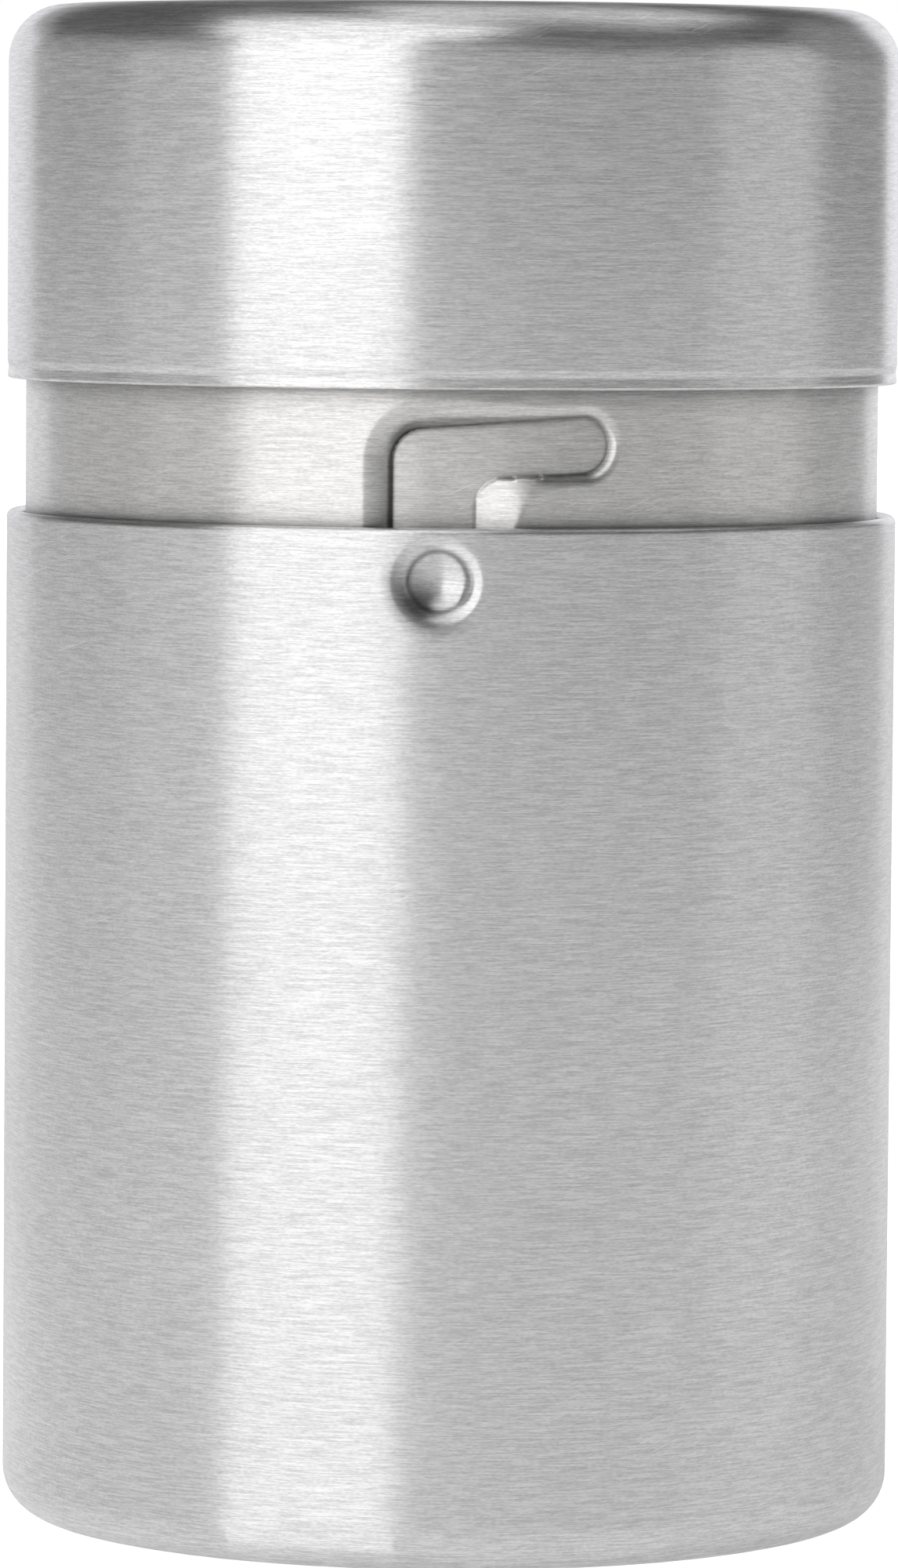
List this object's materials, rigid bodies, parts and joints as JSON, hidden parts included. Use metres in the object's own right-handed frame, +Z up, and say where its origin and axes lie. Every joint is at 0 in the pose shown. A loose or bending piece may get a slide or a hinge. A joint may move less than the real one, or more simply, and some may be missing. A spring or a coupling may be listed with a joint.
{
  "type": "spice shaker",
  "caption": "Cylindrical pressed-steel spice shaker: a drawn cup and a bayonet lid with a neck sleeve and a perforated disc.",
  "frame": {"origin": "centre of the base, on the plane that the foot ring rests on", "axes": "+Z up along the turning axis; the pictured front, with a dimple and a track, looks along -Y"},
  "size_m": [0.05, 0.05, 0.0852],
  "materials": {
    "cup_steel": "brushed round the cup",
    "lid_steel": "brushed round the lid",
    "sleeve_steel": "brushed, duller in the pressed tracks",
    "disc_steel": "satin"
  },
  "bodies": {
    "cup_body": {"cup": "cup_steel"},
    "lid_body": {"lid_shell": "lid_steel", "neck_sleeve": "sleeve_steel", "shaker_disc": "disc_steel"}
  },
  "joints": [
    {"name": "lid_lift", "type": "slide", "parent": "cup_body", "child": "lid_body", "axis": [0, 0, 1], "range_m": [-0.0065, 0.025]}
  ]
}
